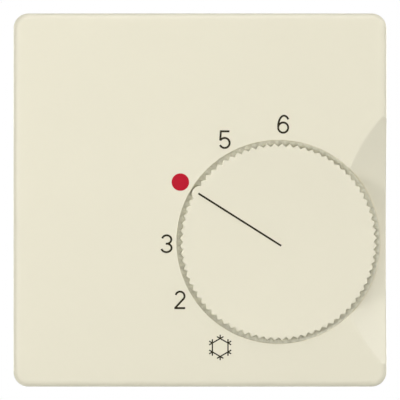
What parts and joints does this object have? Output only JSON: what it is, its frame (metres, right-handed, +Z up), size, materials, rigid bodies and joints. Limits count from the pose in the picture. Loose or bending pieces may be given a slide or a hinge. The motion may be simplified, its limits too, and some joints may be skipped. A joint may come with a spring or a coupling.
{
  "type": "wall thermostat",
  "caption": "Square wall-mounted room thermostat in cream plastic: toothed setting knob sunk in the cover, bimetal switch and terminals on a screwed base.",
  "frame": {"origin": "middle of the base's back face, on the wall", "axes": "+Y into the wall, the face looks towards -Y; +Z up the wall; +X right as seen from the front"},
  "size_m": [0.075, 0.0258, 0.075],
  "materials": {
    "cover_moulding": "satin cream-white moulded thermoplastic",
    "knob_moulding": "satin cream-white moulded thermoplastic",
    "base_moulding": "pale grey moulded thermoplastic",
    "zinc_steel": "zinc-plated steel",
    "brass": "stamped or turned brass",
    "copper_braid": "bare copper",
    "silver": "silver contact metal",
    "magnet": "sintered ferrite",
    "resistor_body": "lacquered resistor body",
    "acetal": "white moulded acetal",
    "ring_cold": "blue moulded acetal",
    "ring_warm": "red moulded acetal",
    "bimetal": "rolled bimetal strip"
  },
  "bodies": {
    "case": {"base_plate": "base_moulding", "front_cover": "cover_moulding", "cover_screw": "zinc_steel", "cover_nut": "brass", "spindle_bush": "acetal", "terminal_clamps": "brass", "terminal_screws": "zinc_steel", "live_rail": "brass", "load_rail": "brass", "neutral_rail": "brass", "fixed_contact": "silver", "snap_magnet": "magnet", "feedback_resistor": "resistor_body", "resistor_leads": "copper_braid", "pivot_pin": "zinc_steel", "pin_clip": "zinc_steel", "lever_spring": "zinc_steel", "bimetal_lead": "copper_braid"},
    "spindle": {"spindle": "zinc_steel", "setting_cam": "acetal", "spindle_clip": "zinc_steel", "friction_washer": "zinc_steel"},
    "knob": {"control_knob": "knob_moulding", "knob_clip": "zinc_steel", "range_ring_min": "ring_cold", "range_ring_max": "ring_warm"},
    "lever": {"bimetal_carrier": "zinc_steel", "calibration_screw": "brass", "bimetal_rivets": "zinc_steel"},
    "bimetal": {"bimetal_strip": "bimetal", "moving_contact": "silver", "armature": "zinc_steel"}
  },
  "joints": [
    {"name": "set_temperature", "type": "hinge", "parent": "case", "child": "spindle", "pos_m": [0.0157, 0, -0.0084], "axis": [0, 1, 0], "range_deg": [-90, 60]},
    {"name": "knob_pull_off", "type": "slide", "parent": "spindle", "child": "knob", "axis": [0, -1, 0], "range_m": [0, 0.007]},
    {"name": "lever_pivot", "type": "hinge", "parent": "case", "child": "lever", "pos_m": [-0.003, 0, 0.014], "axis": [0, 1, 0], "range_deg": [-0.9, 0.6], "deforming": ["lever_spring", "bimetal_lead"]},
    {"name": "bimetal_bend", "type": "hinge", "parent": "lever", "child": "bimetal", "pos_m": [-0.024, -0.0137, 0.0225], "axis": [0, 1, 0], "range_deg": [-0.5, 0.5], "stiffness_Nm_per_rad": 0.2}
  ],
  "couplings": [
    {"joint": "lever_pivot", "follows": "set_temperature", "ratio": 0.009}
  ]
}
